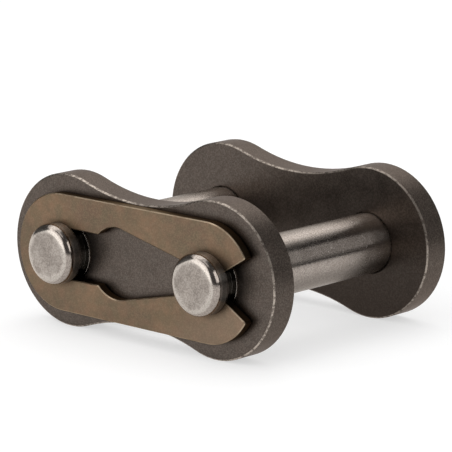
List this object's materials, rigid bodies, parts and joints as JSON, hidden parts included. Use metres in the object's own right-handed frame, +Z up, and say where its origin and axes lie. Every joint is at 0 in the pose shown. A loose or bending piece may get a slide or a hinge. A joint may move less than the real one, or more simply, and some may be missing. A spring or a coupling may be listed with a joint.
{
  "type": "roller-chain connecting link",
  "caption": "Roller-chain connecting link: grooved pins riveted in a plate, a removable cover plate and a flat spring clip that locks it on.",
  "frame": {"origin": "on the pitch line, half way between the two pin axes and half way between the inner faces of the two plates", "axes": "+X along the pitch from the clip's closed end to its open end, +Y along the pins from the cover plate to the pin plate, +Z up across the plates' height"},
  "size_m": [0.034, 0.0278, 0.0148],
  "materials": {
    "plate_steel": "dark oxide, satin, with bright worn edges",
    "pin_steel": "ground and tumbled bright",
    "clip_steel": "tempered spring steel, bronze-brown, satin"
  },
  "bodies": {
    "root": {"pin_plate": "plate_steel", "cover_plate": "plate_steel", "closed_end_pin": "pin_steel", "open_end_pin": "pin_steel", "spring_clip": "clip_steel"}
  },
  "joints": []
}
